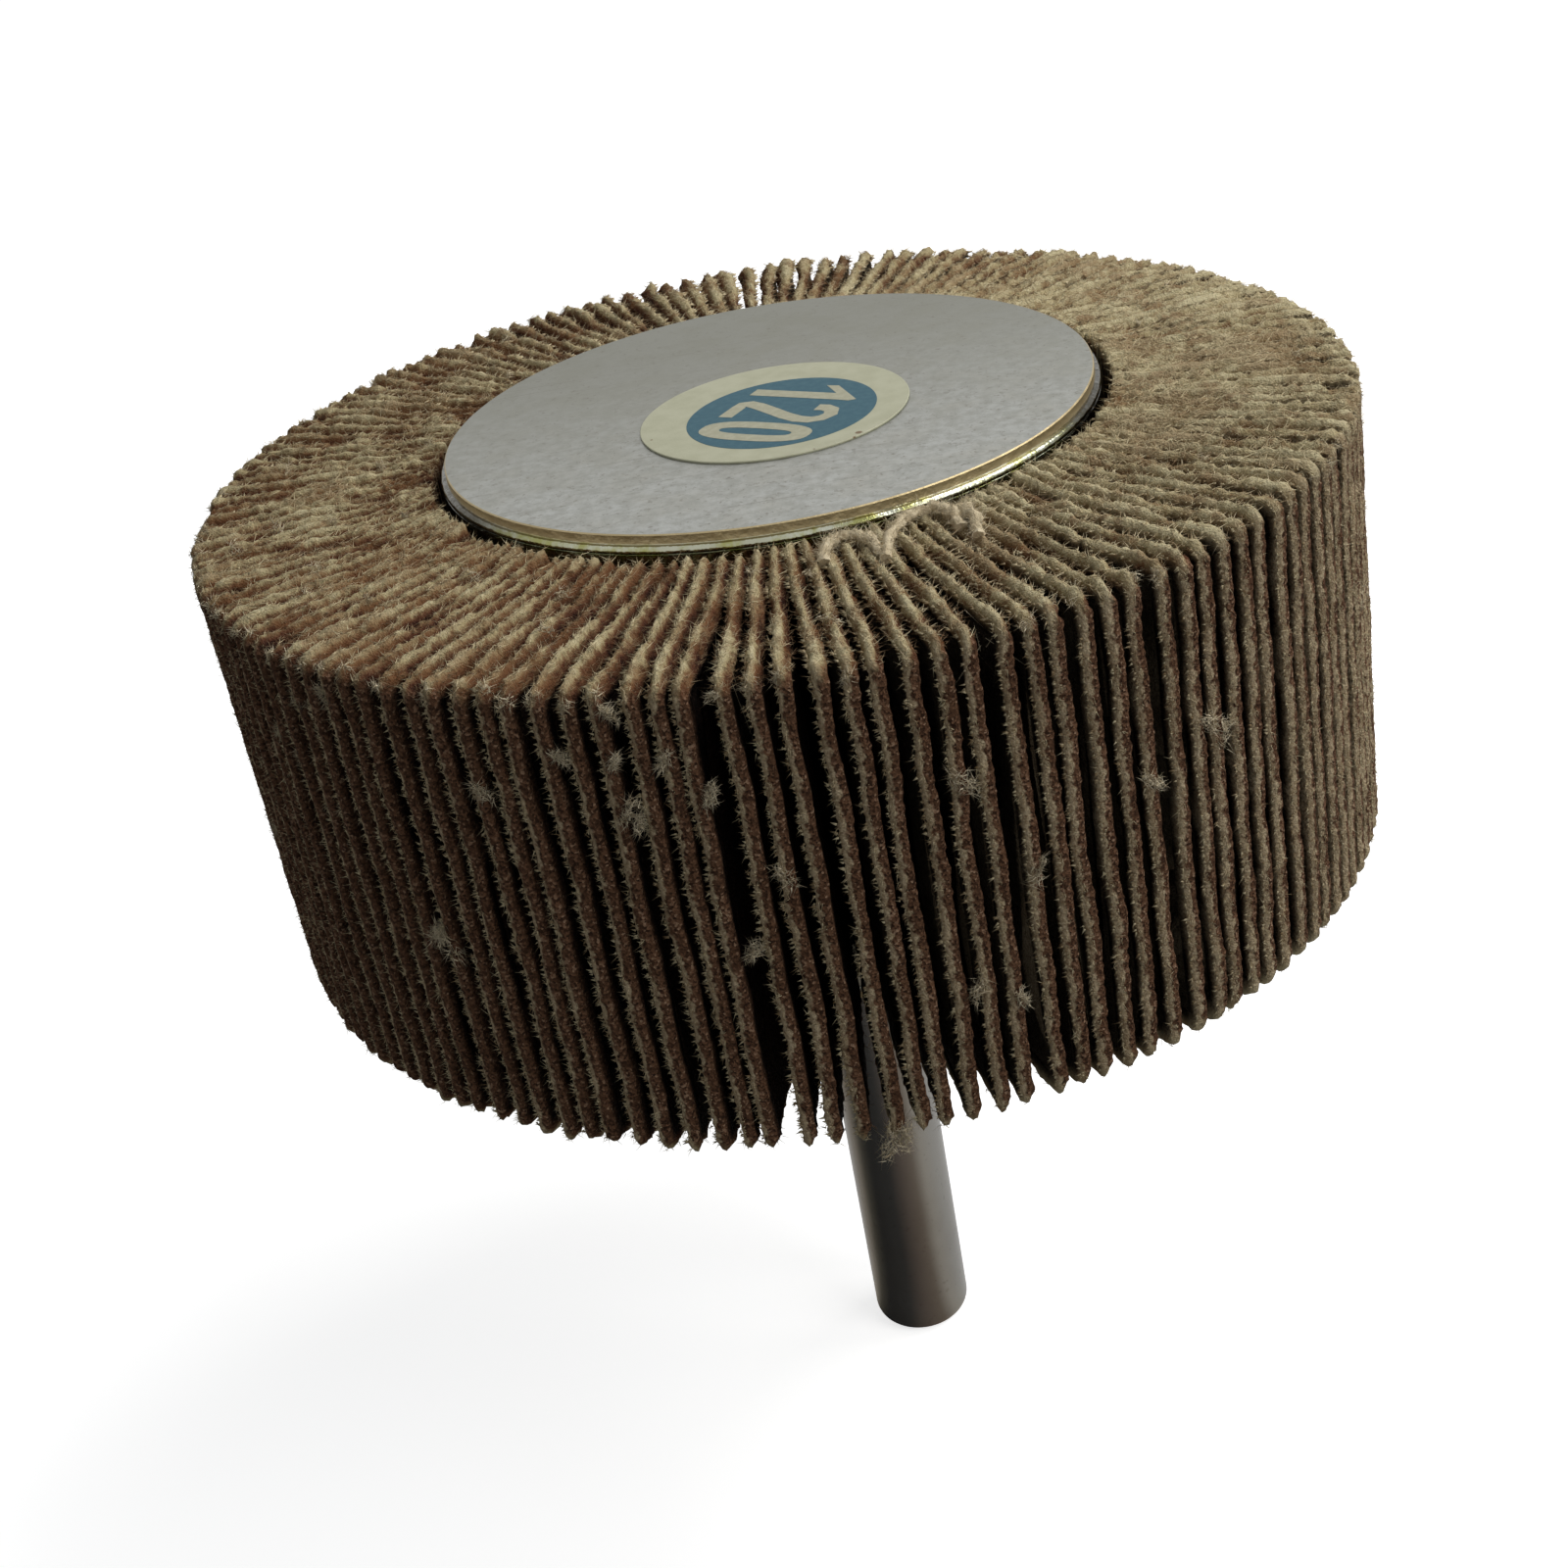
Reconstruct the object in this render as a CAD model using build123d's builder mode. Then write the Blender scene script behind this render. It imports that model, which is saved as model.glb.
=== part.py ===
from build123d import *
from math import copysign, exp, pi, sin, tan
import os

# Shaft-mounted flap wheel, in millimetres.
# The wheel's axis is Z. The origin is where the shank leaves the rear cap's outer face.

# Driving sizes: shank
shank_diameter = 6.0
shank_reach = 36.4
shank_end_bevel = 0.5
anchor_height = 0.25

# Driving sizes: abrasive cloth flaps
wheel_diameter = 62.0
flap_width = 24.5
flap_thickness = 0.62
flap_count = 144
flaps_in_pack = 6
tongue_length = 2.5
notch_depth = 2.4

# Driving sizes: pressed caps, core and label
cap_sheet = 0.7
cap_bevel = 0.35
cap_stand = 1.15
label_diameter = 14.2
label_thickness = 0.12
label_shift_x = 0.3
label_shift_y = -2.0

# Clearances
root_clearance = 0.1
core_clearance = 0.03
cap_clearance = 0.05
groove_gap = 0.6
shank_clearance = 0.05
shank_head_cover = 2.0

# How far a flap's tip leans out of its radial line, as a share of the free room beside it
lean_share = 0.45
middle_lean_share = 0.35

# The one place where the flaps stand further apart, in degrees from X, and how their tips part there
parting_angle = 262.0
parting_spread = 5.0
parting_push = 0.26

# Radii, from the shank outwards
shank_radius = shank_diameter / 2
anchor_radius = shank_radius + anchor_height
root_radius = flap_thickness / 2 / tan(pi / flap_count) + root_clearance
core_radius = root_radius - core_clearance
notch_inner_radius = root_radius + tongue_length
cap_inner_radius = notch_inner_radius + cap_clearance
cap_radius = cap_inner_radius + cap_sheet
notch_outer_radius = cap_radius + groove_gap
wheel_radius = wheel_diameter / 2
middle_radius = (notch_outer_radius + wheel_radius) / 2

# Heights, from the rear cap's outer face upwards
flap_bottom = cap_stand
flap_top = flap_bottom + flap_width
front_face = flap_top + cap_stand
rear_cap_floor = cap_sheet
front_cap_ceiling = front_face - cap_sheet
cap_depth = cap_stand + notch_depth
shank_head = front_cap_ceiling - shank_head_cover

os.makedirs("parts", exist_ok=True)

# Shank: a turned steel pin, bevelled at its free end, with a thicker buried length that keys into
# the resin
with BuildPart() as shank:
    with BuildSketch(Plane.XY.offset(-shank_reach)):
        Circle(shank_radius)
    extrude(amount=shank_reach)
    chamfer(shank.edges().group_by(Axis.Z)[0], length=shank_end_bevel)
    with BuildSketch(Plane.XY):
        Circle(anchor_radius)
    extrude(amount=shank_head)
shank.part.label = "shank"
export_step(shank.part, "parts/shank.step")

# Resin core: cast round the shank, it spreads over the flaps' tongues as a thin flange under each cap
flange_radius = cap_inner_radius - cap_clearance
with BuildPart() as resin_core:
    with BuildSketch(Plane.XY.offset(rear_cap_floor)):
        Circle(core_radius)
    extrude(amount=front_cap_ceiling - rear_cap_floor)
    with BuildSketch(Plane.XY.offset(rear_cap_floor), Plane.XY.offset(flap_top)):
        Circle(flange_radius)
    extrude(amount=flap_bottom - rear_cap_floor)
    add(shank.part, mode=Mode.SUBTRACT)
resin_core.part.label = "resin_core"
export_step(resin_core.part, "parts/resin_core.step")

# Front cap: a shallow cup drawn from steel sheet with a bevelled edge, its wall pressed down into
# the flaps' notches
with BuildPart() as front_cap:
    with BuildSketch(Plane.XY.offset(front_face - cap_depth)):
        Circle(cap_radius)
    extrude(amount=cap_depth)
    chamfer(front_cap.edges().group_by(Axis.Z)[-1], length=cap_bevel)
    with BuildSketch(Plane.XY.offset(front_face - cap_depth)):
        Circle(cap_inner_radius)
    extrude(amount=cap_depth - cap_sheet, mode=Mode.SUBTRACT)
front_cap.part.label = "front_cap"
export_step(front_cap.part, "parts/front_cap.step")

# Rear cap: the same pressing turned over, pierced for the shank
with BuildPart() as rear_cap:
    with BuildSketch(Plane.XY):
        Circle(cap_radius)
    extrude(amount=cap_depth)
    chamfer(rear_cap.edges().group_by(Axis.Z)[0], length=cap_bevel)
    with BuildSketch(Plane.XY.offset(rear_cap_floor)):
        Circle(cap_inner_radius)
    extrude(amount=cap_depth - cap_sheet, mode=Mode.SUBTRACT)
    with Locations(Plane.XY):
        Hole(anchor_radius + shank_clearance)
rear_cap.part.label = "rear_cap"
export_step(rear_cap.part, "parts/rear_cap.step")

# Grit label: a paper disc stuck on the front cap by hand, a little off its middle
with BuildPart() as grit_label:
    with BuildSketch(Plane.XY.offset(front_face)):
        with Locations((label_shift_x, label_shift_y)):
            Circle(label_diameter / 2)
    extrude(amount=label_thickness)
grit_label.part.label = "grit_label"
export_step(grit_label.part, "parts/grit_label.step")

# Flaps: cloth strips stood on edge round the core, packed tight at their roots and free at the rim
rim_room = 2 * pi * wheel_radius / flap_count - flap_thickness
lean_reach = lean_share * rim_room


def tip_lean(flap):
    """Sideways lean of one flap's tip, irregular from flap to flap but the same on every build."""
    ripple = lean_reach * (sin(2.1 * flap) + sin(5.3 * flap + 1)) / 2
    past_parting = 360 * flap / flap_count - parting_angle
    push = copysign(parting_push, past_parting) * exp(-abs(past_parting) / parting_spread)
    return ripple + push


def free_outline(flap):
    """The free part of a flap seen along the wheel's axis, from the cap's groove out to the rim."""
    half = flap_thickness / 2
    lean = tip_lean(flap)
    spine = [
        (notch_outer_radius, 0),
        (middle_radius, middle_lean_share * lean),
        (wheel_radius, lean),
    ]
    left_side = [(radius, side + half) for radius, side in spine]
    right_side = [(radius, side - half) for radius, side in reversed(spine)]
    return left_side + right_side


waist_length = notch_outer_radius - notch_inner_radius
for pack in range(flap_count // flaps_in_pack):
    with BuildPart() as flap_pack:
        for flap in range(pack * flaps_in_pack, (pack + 1) * flaps_in_pack):
            rear_end = Plane.XY.offset(flap_bottom).rotated((0, 0, 360 * flap / flap_count))
            # The tongue under the caps
            with BuildSketch(rear_end):
                with Locations((root_radius, 0)):
                    Rectangle(tongue_length, flap_thickness, align=(Align.MIN, Align.CENTER))
            extrude(amount=flap_width)
            # The waist between the two notches that the caps' walls sit in
            with BuildSketch(rear_end.offset(notch_depth)):
                with Locations((notch_inner_radius, 0)):
                    Rectangle(waist_length, flap_thickness, align=(Align.MIN, Align.CENTER))
            extrude(amount=flap_width - 2 * notch_depth)
            # The free part that does the work
            with BuildSketch(rear_end):
                with BuildLine():
                    Polyline(*free_outline(flap), close=True)
                make_face()
            extrude(amount=flap_width)
    flap_pack.part.label = f"flap_pack_{pack + 1:02d}"
    export_step(flap_pack.part, f"parts/{flap_pack.part.label}.step")
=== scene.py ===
import random
from math import cos, pi, radians, sin, tau

import bpy
from mathutils import Matrix, Vector


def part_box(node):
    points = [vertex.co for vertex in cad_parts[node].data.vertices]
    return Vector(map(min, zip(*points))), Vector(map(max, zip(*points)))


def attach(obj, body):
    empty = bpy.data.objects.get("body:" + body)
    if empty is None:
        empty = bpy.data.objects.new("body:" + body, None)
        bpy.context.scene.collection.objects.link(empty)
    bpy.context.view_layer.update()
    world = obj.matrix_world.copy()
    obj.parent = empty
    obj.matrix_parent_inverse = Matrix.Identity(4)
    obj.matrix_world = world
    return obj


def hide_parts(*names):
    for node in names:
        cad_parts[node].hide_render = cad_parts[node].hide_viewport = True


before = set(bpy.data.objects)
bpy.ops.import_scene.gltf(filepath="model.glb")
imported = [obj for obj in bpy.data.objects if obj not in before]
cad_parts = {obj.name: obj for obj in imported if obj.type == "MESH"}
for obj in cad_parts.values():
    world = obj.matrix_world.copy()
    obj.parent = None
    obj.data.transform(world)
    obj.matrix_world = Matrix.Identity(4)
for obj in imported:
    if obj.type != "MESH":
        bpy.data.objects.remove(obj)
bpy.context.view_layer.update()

# Studio
# A white floor under the shank's free end, a soft lamp high on the right, a weaker one lower on the
# right, and a camera that looks down on the labelled end and is turned a little to its left.

mm = 0.001
floor_size = 8.0
floor_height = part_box("shank")[0].z
lens_length = 51.72
eye = Vector((0, -114.42, 65.80)) * mm
look_down = radians(28.67)
look_right = radians(0.28)
camera_roll = radians(-9.73)
frame_shift = -0.0378


class Wire:
    """A node's output to reckon with like a number: each step adds a Math node to its tree."""

    def __init__(self, socket):
        self.socket = socket
        self.id_data = socket.id_data

    def __add__(self, other):
        return reckon("ADD", self, other)

    def __radd__(self, other):
        return reckon("ADD", other, self)

    def __sub__(self, other):
        return reckon("SUBTRACT", self, other)

    def __rsub__(self, other):
        return reckon("SUBTRACT", other, self)

    def __mul__(self, other):
        return reckon("MULTIPLY", self, other)

    def __rmul__(self, other):
        return reckon("MULTIPLY", other, self)

    def __truediv__(self, other):
        return reckon("DIVIDE", self, other)

    def __pow__(self, other):
        return reckon("POWER", self, other)

    def __abs__(self):
        return reckon("ABSOLUTE", self)


def feed(socket, value):
    """Joins a node's output to a socket, or sets the socket's own value."""
    if isinstance(value, Wire):
        socket.id_data.links.new(value.socket, socket)
    else:
        socket.default_value = value


def add_node(tree, kind, inputs=None, **settings):
    """Adds a node to a tree, with its settings and what goes into it."""
    made = tree.nodes.new(kind)
    for name, setting in settings.items():
        setattr(made, name, setting)
    for name, value in (inputs or {}).items():
        feed(made.inputs[name], value)
    return made


def output_of(tree, kind, inputs=None, output=0, **settings):
    """Adds a node and gives one of its outputs."""
    return Wire(add_node(tree, kind, inputs, **settings).outputs[output])


def outputs_of(node):
    """All the outputs of a node, by their names."""
    return {socket.name: Wire(socket) for socket in node.outputs}


def tree_of(*values):
    """The node tree of the first node's output among some values."""
    return next(value.id_data for value in values if isinstance(value, Wire))


def reckon(operation, *values):
    """One step of arithmetic in a node tree."""
    return output_of(tree_of(*values), "ShaderNodeMath", dict(enumerate(values)), operation=operation)


def mix_colours(share, first, second, blend="MIX"):
    """Mixes two colours, or one colour over another."""
    return output_of(tree_of(share, first, second), "ShaderNodeMix", {0: share, 6: first, 7: second},
                     output=2, data_type="RGBA", blend_type=blend)


def colour_ramp(value, stops):
    """A run of colours along a value from 0 to 1."""
    made = add_node(tree_of(value), "ShaderNodeValToRGB", {"Fac": value})
    while len(made.color_ramp.elements) < len(stops):
        made.color_ramp.elements.new(0.5)
    for element, (stop, colour) in zip(made.color_ramp.elements, stops):
        element.position = stop
        element.color = (*colour, 1)
    return Wire(made.outputs["Color"])


def parts_of(vector):
    """The X, Y and Z of a vector."""
    return list(outputs_of(add_node(tree_of(vector), "ShaderNodeSeparateXYZ", {0: vector})).values())


def seen_directly(tree):
    """1 where a ray from the camera or off polished metal meets the surface, and 0 for lamp light."""
    path = outputs_of(add_node(tree, "ShaderNodeLightPath"))
    camera_or_gloss = reckon("MAXIMUM", path["Is Camera Ray"], path["Is Glossy Ray"])
    return reckon("MAXIMUM", camera_or_gloss, path["Is Transmission Ray"])


world = bpy.data.worlds.new("Studio_air")
bpy.context.scene.world = world
world.use_nodes = True
air = world.node_tree
air.nodes.clear()
room_light = output_of(air, "ShaderNodeBackground", {"Color": (0.95, 0.98, 1.0, 1), "Strength": 0.20})
white_air = output_of(air, "ShaderNodeBackground", {"Color": (1, 1, 1, 1), "Strength": 1.0})
air_mix = output_of(air, "ShaderNodeMixShader", {0: seen_directly(air), 1: room_light, 2: white_air})
add_node(air, "ShaderNodeOutputWorld", {"Surface": air_mix})

floor_finish = bpy.data.materials.new("White_floor")
floor_finish.use_nodes = True
floor_tree = floor_finish.node_tree
floor_path = outputs_of(add_node(floor_tree, "ShaderNodeLightPath"))
floor_paint = floor_tree.nodes["Principled BSDF"]
# The floor is near white to the camera; to glossy rays its own colour is darker, as part of the painted
# reflection below
floor_tone = reckon("MULTIPLY_ADD", floor_path["Is Camera Ray"], 0.65, 0.3)
floor_tone = reckon("MULTIPLY_ADD", floor_path["Is Glossy Ray"], -0.18, floor_tone)
feed(floor_paint.inputs["Base Color"], floor_tone)
floor_paint.inputs["Roughness"].default_value = 1.0
floor_paint.inputs["Specular IOR Level"].default_value = 0.0
# Painted reflection: to glossy rays the floor glows with a painted room that goes by direction, dark in
# front on the left, and polished metal mirrors it
floor_place = output_of(floor_tree, "ShaderNodeTexCoord", output="Object")
floor_spot = parts_of(floor_place)
direction = reckon("ARCTAN2", floor_spot[1], floor_spot[0]) / tau
painted_room_reflection = colour_ramp(reckon("FRACT", direction), (
    (0.0, (0.44, 0.44, 0.43)),
    (0.30, (0.50, 0.50, 0.50)),
    (0.44, (0.28, 0.25, 0.21)),
    (0.50, (0.06, 0.055, 0.04)),
    (0.56, (0, 0, 0)),
    (0.68, (0, 0, 0)),
    (0.76, (0.085, 0.060, 0.045)),
    (0.83, (0.15, 0.115, 0.085)),
    (0.90, (0.40, 0.38, 0.34)),
    (1.0, (0.44, 0.44, 0.43)),
))
# The white fades a little towards the wheel, so that its soft shadow shows there
from_wheel = output_of(floor_tree, "ShaderNodeVectorMath", {
    0: floor_place}, output="Value", operation="LENGTH")
floor_white = output_of(floor_tree, "ShaderNodeMapRange", {
    "Value": from_wheel, "From Min": 0.06, "From Max": 0.2, "To Min": 0.7, "To Max": 0.86})
floor_glow = output_of(floor_tree, "ShaderNodeEmission", {
    "Color": mix_colours(floor_path["Is Glossy Ray"], (1, 1, 1, 1), painted_room_reflection),
    "Strength": reckon(
        "MAXIMUM", floor_path["Is Camera Ray"] * floor_white,
        floor_path["Is Glossy Ray"]),
})
floor_sum = output_of(floor_tree, "ShaderNodeAddShader", {0: Wire(floor_paint.outputs[0]), 1: floor_glow})
feed(floor_tree.nodes["Material Output"].inputs["Surface"], floor_sum)

floor_mesh = bpy.data.meshes.new("Floor")
reach = floor_size / 2
floor_mesh.from_pydata(
    [(x, y, floor_height) for x, y in ((-reach, -reach), (reach, -reach), (reach, reach), (-reach, reach))],
    [], [(0, 1, 2, 3)])
floor_mesh.materials.append(floor_finish)
floor = bpy.data.objects.new("Floor", floor_mesh)
bpy.context.scene.collection.objects.link(floor)


def hang_lamp(name, place, width, power, colour):
    """A square soft lamp that faces the middle of the wheel."""
    lamp = bpy.data.lights.new(name, "AREA")
    lamp.size = width
    lamp.energy = power
    lamp.color = colour
    holder = bpy.data.objects.new(name, lamp)
    holder.location = place
    wheel_middle = Vector((0, 0, 0.013))
    holder.rotation_euler = (wheel_middle - holder.location).to_track_quat("-Z", "Y").to_euler()
    bpy.context.scene.collection.objects.link(holder)


hang_lamp("Overhead_lamp", (0.26, 0.07, 0.35), 0.28, 1.30, (1.0, 0.985, 0.96))
hang_lamp("Right_lamp", (0.22, -0.18, 0.19), 0.18, 0.32, (1.0, 0.99, 0.97))

camera_data = bpy.data.cameras.new("Camera")
camera_data.lens = lens_length
camera_data.shift_x = frame_shift
camera_data.clip_start = 0.005
camera_data.clip_end = 20.0
camera = bpy.data.objects.new("Camera", camera_data)
camera.matrix_world = (
    Matrix.Translation(eye)
    @ Matrix.Rotation(-look_right, 4, "Z")
    @ Matrix.Rotation(pi / 2 - look_down, 4, "X")
    @ Matrix.Rotation(camera_roll, 4, "Z")
)
bpy.context.scene.collection.objects.link(camera)
bpy.context.scene.camera = camera
bpy.context.scene.view_settings.view_transform = "Standard"

# Shank
# The round steel pin that a drill chuck grips, ground bright all over and rounded off at its free
# end. Its buried length is a little thicker, and the resin core holds it.

shank_radius = 3.0
shank_tip = -36.4
shank_round = 1.0
buried_radius = 3.25
shank_head = 24.1


def add_group(name, inputs, outputs):
    """A shader node group with its named inputs and outputs, and its two end nodes."""
    group = bpy.data.node_groups.new(name, "ShaderNodeTree")
    for label, kind, value in inputs:
        group.interface.new_socket(name=label, in_out="INPUT", socket_type=kind).default_value = value
    for label, kind in outputs:
        group.interface.new_socket(name=label, in_out="OUTPUT", socket_type=kind)
    return group, outputs_of(group.nodes.new("NodeGroupInput")), group.nodes.new("NodeGroupOutput").inputs


def noise(coordinates, scale, detail=3.0, roughness=0.55):
    """Plain fractal noise as a value from 0 to 1."""
    return output_of(tree_of(coordinates), "ShaderNodeTexNoise", {
        "Vector": coordinates, "Scale": scale, "Detail": detail, "Roughness": roughness})


def spread(value, low, high, new_low=0.0, new_high=1.0):
    """Stretches part of a value's range over a new one and holds it there."""
    return output_of(tree_of(value), "ShaderNodeMapRange", {
        "Value": value, "From Min": low, "From Max": high, "To Min": new_low, "To Max": new_high,
    }, interpolation_type="SMOOTHSTEP")


# Handling marks on bare steel: soft smudges, fine specks and hairline scratches
worn_steel, marks_in, marks_out = add_group(
    "Worn steel",
    [
        ("Vector", "NodeSocketVector", (0, 0, 0)),
        ("Smudge Scale", "NodeSocketFloat", 150.0),
        ("Speck Scale", "NodeSocketFloat", 3000.0),
    ],
    [("Smudge", "NodeSocketFloat"), ("Speck", "NodeSocketFloat"), ("Scratch", "NodeSocketFloat")])
place = marks_in["Vector"]
smudge = spread(noise(place, marks_in["Smudge Scale"], 4.0), 0.35, 0.7)
speck_grain = noise(place, marks_in["Speck Scale"], 2.0, 0.6)
speck = spread(speck_grain, 0.62, 0.74)
scratch_lines = []
for turn, offset in ((0.5, 3.0), (1.9, 11.0), (2.7, 29.0)):
    turned = output_of(worn_steel, "ShaderNodeMapping", {
        "Vector": place,
        "Location": (offset, offset, 0),
        "Rotation": (0, 0, turn),
        "Scale": (90, 5200, 90),
    })
    line = noise(turned, 1.0, 1.0, 0.4)
    scratch_lines.append(spread(line, 0.71, 0.76))
scratch = reckon("MAXIMUM", scratch_lines[0], scratch_lines[1])
scratch = reckon("MAXIMUM", scratch, scratch_lines[2])
feed(marks_out["Smudge"], smudge)
feed(marks_out["Speck"], speck)
feed(marks_out["Scratch"], scratch)


def steel_marks(place, smudge_scale=150.0, speck_scale=3000.0):
    """The handling marks on a steel piece."""
    return outputs_of(add_node(tree_of(place), "ShaderNodeGroup", {
        "Vector": place, "Smudge Scale": smudge_scale, "Speck Scale": speck_scale}, node_tree=worn_steel))


def new_finish(name, plain_values):
    """A material with one Principled surface whose plain values are set on its own sockets."""
    finish = bpy.data.materials.new(name)
    finish.use_nodes = True
    tree = finish.node_tree
    surface = tree.nodes["Principled BSDF"]
    for socket, value in plain_values.items():
        surface.inputs[socket].default_value = value
    return finish, tree, surface, output_of(tree, "ShaderNodeTexCoord", output="Object")


def add_bump(surface, height, depth_mm):
    """Presses a height pattern into a surface, to a real depth."""
    bump = output_of(surface.id_data, "ShaderNodeBump", {"Distance": depth_mm * mm, "Height": height})
    feed(surface.inputs["Normal"], bump)


shank_finish, tree, surface, place = new_finish("Ground_steel", {"Metallic": 1.0})
marks = steel_marks(place, 110.0, 2600.0)
grinding_place = output_of(tree, "ShaderNodeMapping", {"Vector": place, "Scale": (60, 60, 9000)})
grinding = noise(grinding_place, 1.0, 3.0)
steel = mix_colours(marks["Smudge"], (0.4, 0.385, 0.36, 1), (0.33, 0.31, 0.285, 1))
steel = mix_colours(marks["Speck"] * 0.2, steel, (0.12, 0.09, 0.07, 1))
feed(surface.inputs["Base Color"], steel)
feed(surface.inputs["Roughness"], spread(grinding, 0.2, 0.8, 0.16, 0.24))
shank_height = grinding - marks["Scratch"] * 0.8
add_bump(surface, shank_height, 0.004)


def turned_piece(name, outline, finishes, slots=None, steps=160, open_middle=False):
    """A body of revolution about the wheel's axis. Its outline is in millimetres, radius and height,
    and goes up on the outside. Slots give each stretch of the outline its finish."""
    points = []
    rings = []
    for radius, height in outline:
        if radius == 0:
            rings.append([len(points)] * steps)
            points.append((0, 0, height * mm))
            continue
        rings.append([len(points) + step for step in range(steps)])
        for step in range(steps):
            turn = tau * step / steps
            points.append((radius * cos(turn) * mm, radius * sin(turn) * mm, height * mm))
    if open_middle:
        rings.append(rings[0])
    faces = []
    face_slots = []
    for stretch, (low, high) in enumerate(zip(rings, rings[1:])):
        for step in range(steps):
            following = (step + 1) % steps
            corners = [low[step], low[following], high[following], high[step]]
            faces.append(list(dict.fromkeys(corners)))
            face_slots.append(slots[stretch] if slots else 0)
    mesh = bpy.data.meshes.new(name)
    mesh.from_pydata(points, [], faces)
    for finish in finishes:
        mesh.materials.append(finish)
    mesh.polygons.foreach_set("material_index", face_slots)
    mesh.shade_smooth()
    mesh.set_sharp_from_angle(angle=radians(40))
    piece = bpy.data.objects.new(name, mesh)
    bpy.context.scene.collection.objects.link(piece)
    return piece


def rounded(centre_radius, centre_height, radius, start, end, steps=6):
    """Points of a rounded edge, by the angles where it starts and ends."""
    arc = []
    for step in range(steps + 1):
        turn = radians(start + (end - start) * step / steps)
        arc.append((centre_radius + radius * cos(turn), centre_height + radius * sin(turn)))
    return arc


shank_outline = [(0, shank_tip), (1.2, shank_tip), (2.0, shank_tip)]
shank_outline += rounded(shank_radius - shank_round, shank_tip + shank_round, shank_round, -90, 0, 8)
shank_outline += [(shank_radius, height) for height in (-30, -24, -18, -12, -6, 0)]
shank_outline += [(buried_radius, 0), (buried_radius, shank_head), (0, shank_head)]
shank = turned_piece("Shank", shank_outline, [shank_finish], steps=96)
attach(shank, "root")
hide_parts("shank")

# Resin core
# Brown casting resin that fills the middle of the wheel. It binds the flaps' roots, the two caps
# and the shank into one piece, and shows only as a thin line where a cap leaves a gap.

resin_finish, tree, surface, place = new_finish("Casting_resin", {"Specular IOR Level": 0.4})
resin_cloud = noise(place, 260.0, 4.0)
resin_colour = mix_colours(spread(resin_cloud, 0.3, 0.7), (0.09, 0.05, 0.025, 1), (0.17, 0.1, 0.05, 1))
feed(surface.inputs["Base Color"], resin_colour)
feed(surface.inputs["Roughness"], spread(resin_cloud, 0.3, 0.7, 0.3, 0.5))
add_bump(surface, noise(place, 2200.0, 2.0), 0.03)
core_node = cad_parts["resin_core"]
for slot in core_node.material_slots:
    slot.material = resin_finish

# Abrasive flaps
# Strips of cotton cloth with a coat of brown grit on one side, stood on edge round the core. Their
# roots are glued tight and their free edges have frayed: each yarn end of the cloth stands out as a
# small tooth with loose fibres, beside the bare grit.

flap_count = 144
flaps_in_pack = 6
half_thickness = 0.31
root_radius = 14.307
notch_inner = 16.807
notch_outer = 18.157
wheel_radius = 31.0
flap_bottom = 1.15
flap_top = 25.65
notch_depth = 2.4
corner_round = 0.85
yarn_pitch = 0.42
shoulder_depth = 0.9
shoulder_step = 4

# Across the edge from the cloth side to the grit side, and how far each line stands out of the edge
edge_rows = ((-1.0, -0.26), (-0.5, -0.12), (0.0, -0.10), (0.5, -0.10), (1.0, -0.24))


def edge_place(distance):
    """Radius, height and outward direction at a distance along a flap's free edge, which runs out
    along the labelled end, down the rim and back along the rear end."""
    end_run = wheel_radius - corner_round - notch_outer
    rim_run = flap_top - flap_bottom - 2 * corner_round
    corner_run = pi / 2 * corner_round
    centre = wheel_radius - corner_round
    if distance < end_run:
        return notch_outer + distance, flap_top, 0, 1
    distance -= end_run
    if distance < corner_run:
        turn = distance / corner_round
        return (centre + corner_round * sin(turn), flap_top - corner_round + corner_round * cos(turn),
                sin(turn), cos(turn))
    distance -= corner_run
    if distance < rim_run:
        return wheel_radius, flap_top - corner_round - distance, 1, 0
    distance -= rim_run
    if distance < corner_run:
        turn = distance / corner_round
        return (centre + corner_round * cos(turn), flap_bottom + corner_round - corner_round * sin(turn),
                cos(turn), -sin(turn))
    distance -= corner_run
    return centre - distance, flap_bottom, 0, -1


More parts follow.
